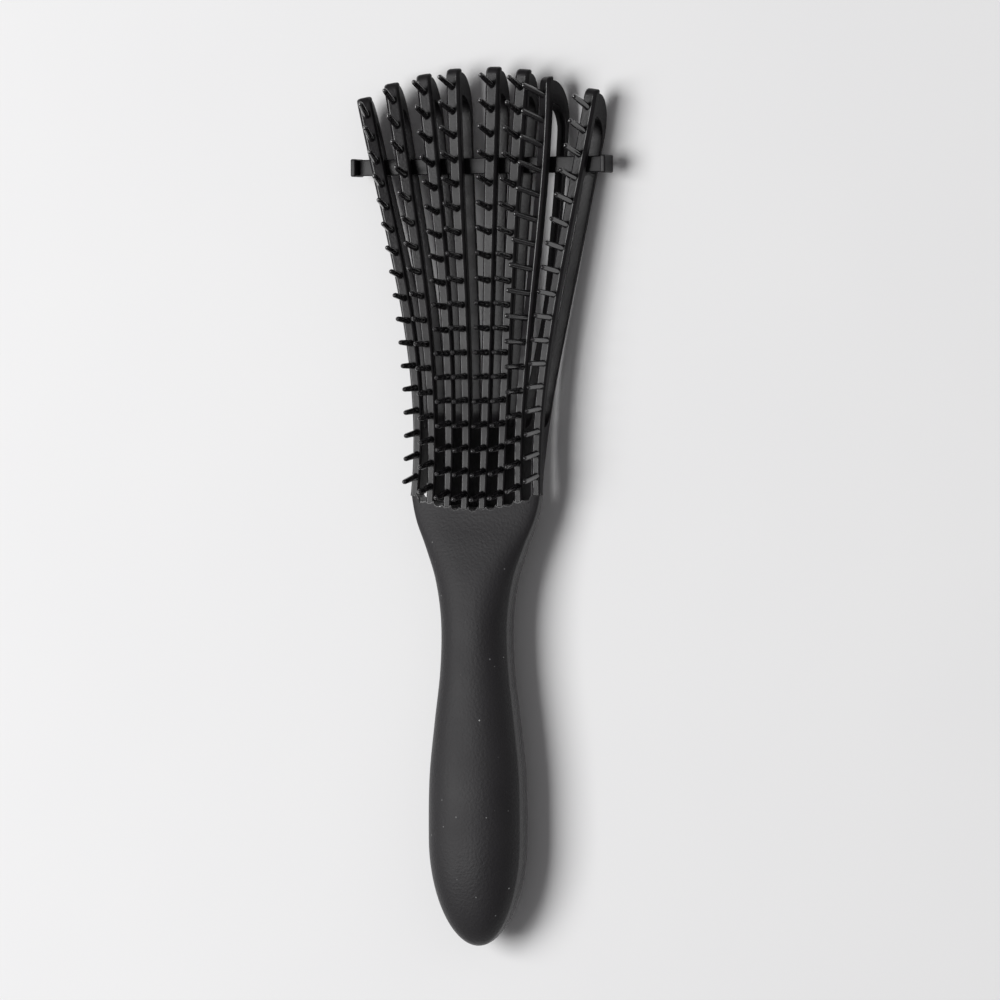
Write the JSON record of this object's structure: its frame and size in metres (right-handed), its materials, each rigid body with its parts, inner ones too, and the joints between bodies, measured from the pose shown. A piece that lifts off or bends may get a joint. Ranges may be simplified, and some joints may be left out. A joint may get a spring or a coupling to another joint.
{
  "type": "detangling brush",
  "caption": "Hand-held detangling brush: a moulded handle, flexible hairpin arms that fan out with rows of round-tipped pins, and a loose flat band through their windows.",
  "frame": {"origin": "centre of the base of the bounding box, with the brush lying on its back, pins up", "axes": "+Y along the brush from the butt of the handle to the tips of the arms, +Z along the pins, +X across the arms"},
  "size_m": [0.0756, 0.2363, 0.0201],
  "materials": {
    "soft_touch": "fine-grained soft-touch matte, black",
    "arm_plastic": "satin moulded plastic, charcoal black",
    "band": "smooth flexible band, charcoal black"
  },
  "bodies": {
    "handle": {"handle_front": "soft_touch", "handle_back": "soft_touch"},
    "band": {"strap": "band", "strap_stop_left": "band", "strap_stop_right": "band"},
    "arm_1": {"rail_1": "arm_plastic", "leg_1": "arm_plastic"},
    "arm_2": {"rail_2": "arm_plastic", "leg_2": "arm_plastic"},
    "arm_3": {"rail_3": "arm_plastic", "leg_3": "arm_plastic"},
    "arm_4": {"rail_4": "arm_plastic", "leg_4": "arm_plastic"},
    "arm_5": {"rail_5": "arm_plastic", "leg_5": "arm_plastic"},
    "arm_6": {"rail_6": "arm_plastic", "leg_6": "arm_plastic"},
    "arm_7": {"rail_7": "arm_plastic", "leg_7": "arm_plastic"},
    "arm_8": {"rail_8": "arm_plastic", "leg_8": "arm_plastic"}
  },
  "joints": [
    {"name": "arm_1_flex", "type": "hinge", "parent": "handle", "child": "arm_1", "pos_m": [-0.01837, 0.00428, 0.012], "axis": [0, 0, 1], "range_deg": [-0.9, 1], "stiffness_Nm_per_rad": 1.2},
    {"name": "arm_2_flex", "type": "hinge", "parent": "handle", "child": "arm_2", "pos_m": [-0.01312, 0.00248, 0.012], "axis": [0, 0, 1], "range_deg": [-1.2, 0.9], "stiffness_Nm_per_rad": 1.2},
    {"name": "arm_3_flex", "type": "hinge", "parent": "handle", "child": "arm_3", "pos_m": [-0.00788, 0.00128, 0.012], "axis": [0, 0, 1], "range_deg": [-0.7, 1.2], "stiffness_Nm_per_rad": 1.2},
    {"name": "arm_4_flex", "type": "hinge", "parent": "handle", "child": "arm_4", "pos_m": [-0.00263, 0.00068, 0.012], "axis": [0, 0, 1], "range_deg": [-1.6, 0.7], "stiffness_Nm_per_rad": 1.2},
    {"name": "arm_5_flex", "type": "hinge", "parent": "handle", "child": "arm_5", "pos_m": [0.00263, 0.00068, 0.012], "axis": [0, 0, 1], "range_deg": [-0.9, 1.6], "stiffness_Nm_per_rad": 1.2},
    {"name": "arm_6_flex", "type": "hinge", "parent": "handle", "child": "arm_6", "pos_m": [0.00788, 0.00128, 0.012], "axis": [0, 0, 1], "range_deg": [-0.5, 0.9], "stiffness_Nm_per_rad": 1.2},
    {"name": "arm_7_flex", "type": "hinge", "parent": "handle", "child": "arm_7", "pos_m": [0.01312, 0.00248, 0.012], "axis": [0, 0, 1], "range_deg": [-0.9, 0.5], "stiffness_Nm_per_rad": 1.2},
    {"name": "arm_8_flex", "type": "hinge", "parent": "handle", "child": "arm_8", "pos_m": [0.01837, 0.00428, 0.012], "axis": [0, 0, 1], "range_deg": [-1, 0.9], "stiffness_Nm_per_rad": 1.2},
    {"name": "band_slide", "type": "slide", "parent": "handle", "child": "band", "axis": [1, 0, 0], "range_m": [-0.0005, 0.0005]}
  ]
}
